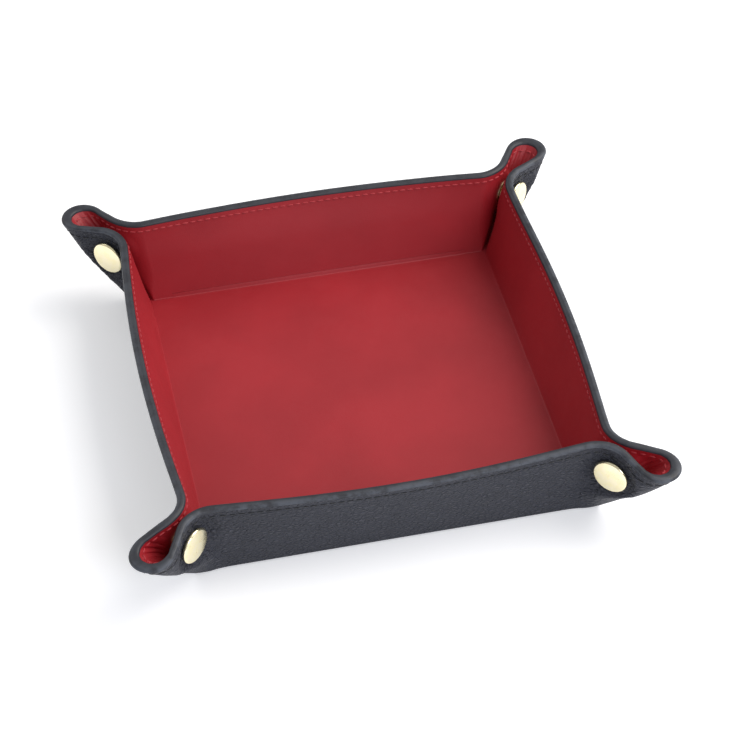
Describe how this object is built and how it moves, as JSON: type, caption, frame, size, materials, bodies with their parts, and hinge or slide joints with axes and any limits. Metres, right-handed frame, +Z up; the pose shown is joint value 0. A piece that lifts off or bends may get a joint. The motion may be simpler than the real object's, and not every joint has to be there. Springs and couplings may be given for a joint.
{
  "type": "valet tray",
  "caption": "Square leather valet tray with sloping walls and pinched looped corners held by press studs; undone, it folds out flat.",
  "frame": {"origin": "centre of the base's footprint on the surface it stands on", "axes": "+Z up; +X to the tray's right and -Y towards the front wall, the wall nearest the camera in the picture"},
  "size_m": [0.1796, 0.1796, 0.032],
  "materials": {
    "outer_leather": "pebble grain, navy",
    "lining": "smooth, red",
    "board": "plain grey-brown card",
    "press_stud": "polished pale gold"
  },
  "bodies": {
    "floor": {"base_board": "board", "base_lining": "lining", "base_outer": "outer_leather"},
    "right_wall": {"right_board": "board", "right_outer": "outer_leather", "right_lining": "lining"},
    "rear_wall": {"rear_board": "board", "rear_outer": "outer_leather", "rear_lining": "lining"},
    "left_wall": {"left_board": "board", "left_outer": "outer_leather", "left_lining": "lining"},
    "front_wall": {"front_board": "board", "front_outer": "outer_leather", "front_lining": "lining"},
    "rear_right_rear_flank": {"rear_right_rear_flank_outer": "outer_leather", "rear_right_rear_flank_lining": "lining", "rear_right_stud": "press_stud", "rear_right_post": "press_stud"},
    "rear_right_rear_tip": {"rear_right_rear_tip": "outer_leather"},
    "rear_right_right_flank": {"rear_right_right_flank_outer": "outer_leather", "rear_right_right_flank_lining": "lining", "rear_right_cap": "press_stud", "rear_right_socket": "press_stud"},
    "rear_right_right_tip": {"rear_right_right_tip": "outer_leather"},
    "rear_left_left_flank": {"rear_left_left_flank_outer": "outer_leather", "rear_left_left_flank_lining": "lining", "rear_left_cap": "press_stud", "rear_left_socket": "press_stud"},
    "rear_left_left_tip": {"rear_left_left_tip": "outer_leather"},
    "rear_left_rear_flank": {"rear_left_rear_flank_outer": "outer_leather", "rear_left_rear_flank_lining": "lining", "rear_left_stud": "press_stud", "rear_left_post": "press_stud"},
    "rear_left_rear_tip": {"rear_left_rear_tip": "outer_leather"},
    "front_left_front_flank": {"front_left_front_flank_outer": "outer_leather", "front_left_front_flank_lining": "lining", "front_left_cap": "press_stud", "front_left_socket": "press_stud"},
    "front_left_front_tip": {"front_left_front_tip": "outer_leather"},
    "front_left_left_flank": {"front_left_left_flank_outer": "outer_leather", "front_left_left_flank_lining": "lining", "front_left_stud": "press_stud", "front_left_post": "press_stud"},
    "front_left_left_tip": {"front_left_left_tip": "outer_leather"},
    "front_right_right_flank": {"front_right_right_flank_outer": "outer_leather", "front_right_right_flank_lining": "lining", "front_right_stud": "press_stud", "front_right_post": "press_stud"},
    "front_right_right_tip": {"front_right_right_tip": "outer_leather"},
    "front_right_front_flank": {"front_right_front_flank_outer": "outer_leather", "front_right_front_flank_lining": "lining", "front_right_cap": "press_stud", "front_right_socket": "press_stud"},
    "front_right_front_tip": {"front_right_front_tip": "outer_leather"}
  },
  "joints": [
    {"name": "right_wall_fold", "type": "hinge", "parent": "floor", "child": "right_wall", "pos_m": [0.065, 0, 0], "axis": [0, 1, 0], "range_deg": [0, 74.01]},
    {"name": "rear_wall_fold", "type": "hinge", "parent": "floor", "child": "rear_wall", "pos_m": [0, 0.065, 0], "axis": [-1, 0, 0], "range_deg": [0, 74.01]},
    {"name": "left_wall_fold", "type": "hinge", "parent": "floor", "child": "left_wall", "pos_m": [-0.065, 0, 0], "axis": [0, -1, 0], "range_deg": [0, 74.01]},
    {"name": "front_wall_fold", "type": "hinge", "parent": "floor", "child": "front_wall", "pos_m": [0, -0.065, 0], "axis": [1, 0, 0], "range_deg": [0, 74]},
    {"name": "rear_right_rear_bend", "type": "hinge", "parent": "rear_wall", "child": "rear_right_rear_flank", "pos_m": [0.06406, 0.06731, 0.016], "axis": [-0.2844, -0.2469, -0.9264], "range_deg": [0, 56.01]},
    {"name": "rear_right_rear_uncurl", "type": "hinge", "parent": "rear_right_rear_flank", "child": "rear_right_rear_tip", "pos_m": [0.07086, 0.07677, 0.016], "axis": [0.4554, 0.5612, 0.6912], "range_deg": [0, 96.61]},
    {"name": "rear_right_right_bend", "type": "hinge", "parent": "right_wall", "child": "rear_right_right_flank", "pos_m": [0.06731, 0.06406, 0.016], "axis": [0.2469, 0.2844, 0.9264], "range_deg": [0, 56.01]},
    {"name": "rear_right_right_uncurl", "type": "hinge", "parent": "rear_right_right_flank", "child": "rear_right_right_tip", "pos_m": [0.07677, 0.07086, 0.016], "axis": [-0.5612, -0.4554, -0.6912], "range_deg": [0, 96.61]},
    {"name": "rear_left_left_bend", "type": "hinge", "parent": "left_wall", "child": "rear_left_left_flank", "pos_m": [-0.06731, 0.06406, 0.016], "axis": [0.2469, -0.2844, -0.9264], "range_deg": [0, 56.01]},
    {"name": "rear_left_left_uncurl", "type": "hinge", "parent": "rear_left_left_flank", "child": "rear_left_left_tip", "pos_m": [-0.07677, 0.07086, 0.016], "axis": [-0.5612, 0.4554, 0.6912], "range_deg": [0, 96.61]},
    {"name": "rear_left_rear_bend", "type": "hinge", "parent": "rear_wall", "child": "rear_left_rear_flank", "pos_m": [-0.06406, 0.06731, 0.016], "axis": [-0.2844, 0.2469, 0.9264], "range_deg": [0, 56.01]},
    {"name": "rear_left_rear_uncurl", "type": "hinge", "parent": "rear_left_rear_flank", "child": "rear_left_rear_tip", "pos_m": [-0.07086, 0.07677, 0.016], "axis": [0.4554, -0.5612, -0.6912], "range_deg": [0, 96.61]},
    {"name": "front_left_front_bend", "type": "hinge", "parent": "front_wall", "child": "front_left_front_flank", "pos_m": [-0.06406, -0.06731, 0.016], "axis": [0.2844, 0.2469, -0.9264], "range_deg": [0, 56.01]},
    {"name": "front_left_front_uncurl", "type": "hinge", "parent": "front_left_front_flank", "child": "front_left_front_tip", "pos_m": [-0.07086, -0.07677, 0.016], "axis": [-0.4554, -0.5612, 0.6912], "range_deg": [0, 96.61]},
    {"name": "front_left_left_bend", "type": "hinge", "parent": "left_wall", "child": "front_left_left_flank", "pos_m": [-0.06731, -0.06406, 0.016], "axis": [-0.2469, -0.2844, 0.9264], "range_deg": [0, 56.01]},
    {"name": "front_left_left_uncurl", "type": "hinge", "parent": "front_left_left_flank", "child": "front_left_left_tip", "pos_m": [-0.07677, -0.07086, 0.016], "axis": [0.5612, 0.4554, -0.6912], "range_deg": [0, 96.61]},
    {"name": "front_right_right_bend", "type": "hinge", "parent": "right_wall", "child": "front_right_right_flank", "pos_m": [0.06731, -0.06406, 0.016], "axis": [-0.2469, 0.2844, -0.9264], "range_deg": [0, 56.01]},
    {"name": "front_right_right_uncurl", "type": "hinge", "parent": "front_right_right_flank", "child": "front_right_right_tip", "pos_m": [0.07677, -0.07086, 0.016], "axis": [0.5612, -0.4554, 0.6912], "range_deg": [0, 96.61]},
    {"name": "front_right_front_bend", "type": "hinge", "parent": "front_wall", "child": "front_right_front_flank", "pos_m": [0.06406, -0.06731, 0.016], "axis": [0.2844, -0.2469, 0.9264], "range_deg": [0, 56.01]},
    {"name": "front_right_front_uncurl", "type": "hinge", "parent": "front_right_front_flank", "child": "front_right_front_tip", "pos_m": [0.07086, -0.07677, 0.016], "axis": [-0.4554, 0.5612, -0.6912], "range_deg": [0, 96.61]}
  ],
  "couplings": [
    {"joint": "rear_right_rear_bend", "follows": "front_wall_fold", "ratio": 0.75676},
    {"joint": "rear_right_rear_uncurl", "follows": "front_wall_fold", "ratio": 1.3054},
    {"joint": "rear_right_right_bend", "follows": "front_wall_fold", "ratio": 0.75676},
    {"joint": "rear_right_right_uncurl", "follows": "front_wall_fold", "ratio": 1.3054},
    {"joint": "rear_left_left_bend", "follows": "front_wall_fold", "ratio": 0.75676},
    {"joint": "rear_left_left_uncurl", "follows": "front_wall_fold", "ratio": 1.3054},
    {"joint": "rear_left_rear_bend", "follows": "front_wall_fold", "ratio": 0.75676},
    {"joint": "rear_left_rear_uncurl", "follows": "front_wall_fold", "ratio": 1.3054},
    {"joint": "front_left_front_bend", "follows": "front_wall_fold", "ratio": 0.75676},
    {"joint": "front_left_front_uncurl", "follows": "front_wall_fold", "ratio": 1.3054},
    {"joint": "front_left_left_bend", "follows": "front_wall_fold", "ratio": 0.75676},
    {"joint": "front_left_left_uncurl", "follows": "front_wall_fold", "ratio": 1.3054},
    {"joint": "front_right_right_bend", "follows": "front_wall_fold", "ratio": 0.75676},
    {"joint": "front_right_right_uncurl", "follows": "front_wall_fold", "ratio": 1.3054},
    {"joint": "front_right_front_bend", "follows": "front_wall_fold", "ratio": 0.75676},
    {"joint": "front_right_front_uncurl", "follows": "front_wall_fold", "ratio": 1.3054},
    {"joint": "right_wall_fold", "follows": "front_wall_fold", "ratio": 1},
    {"joint": "rear_wall_fold", "follows": "front_wall_fold", "ratio": 1},
    {"joint": "left_wall_fold", "follows": "front_wall_fold", "ratio": 1}
  ]
}
